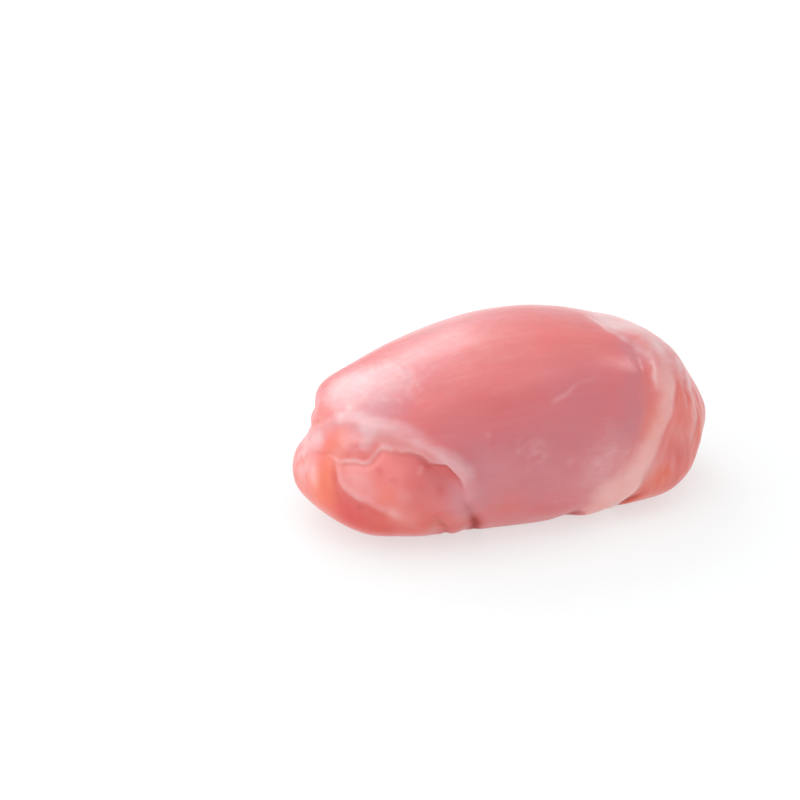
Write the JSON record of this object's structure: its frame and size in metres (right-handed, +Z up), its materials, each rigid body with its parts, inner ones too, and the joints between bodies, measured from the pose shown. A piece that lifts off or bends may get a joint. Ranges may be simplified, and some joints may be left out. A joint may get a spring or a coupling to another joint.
{
  "type": "raw chicken thigh",
  "caption": "Raw boned, skinned chicken thigh folded into a plump oblong, with a rolled rim at the heel, a fat band by the knuckle end and a flat underside to rest on.",
  "frame": {"origin": "middle of the underside's box, on the surface that the thigh lies on", "axes": "+X along the muscle to the knuckle end, +Z up out of the smooth side, -Y the near long side"},
  "size_m": [0.0946, 0.055, 0.0413],
  "materials": {
    "flesh": "wet, satin"
  },
  "bodies": {
    "root": {"thigh": "flesh"}
  },
  "joints": []
}
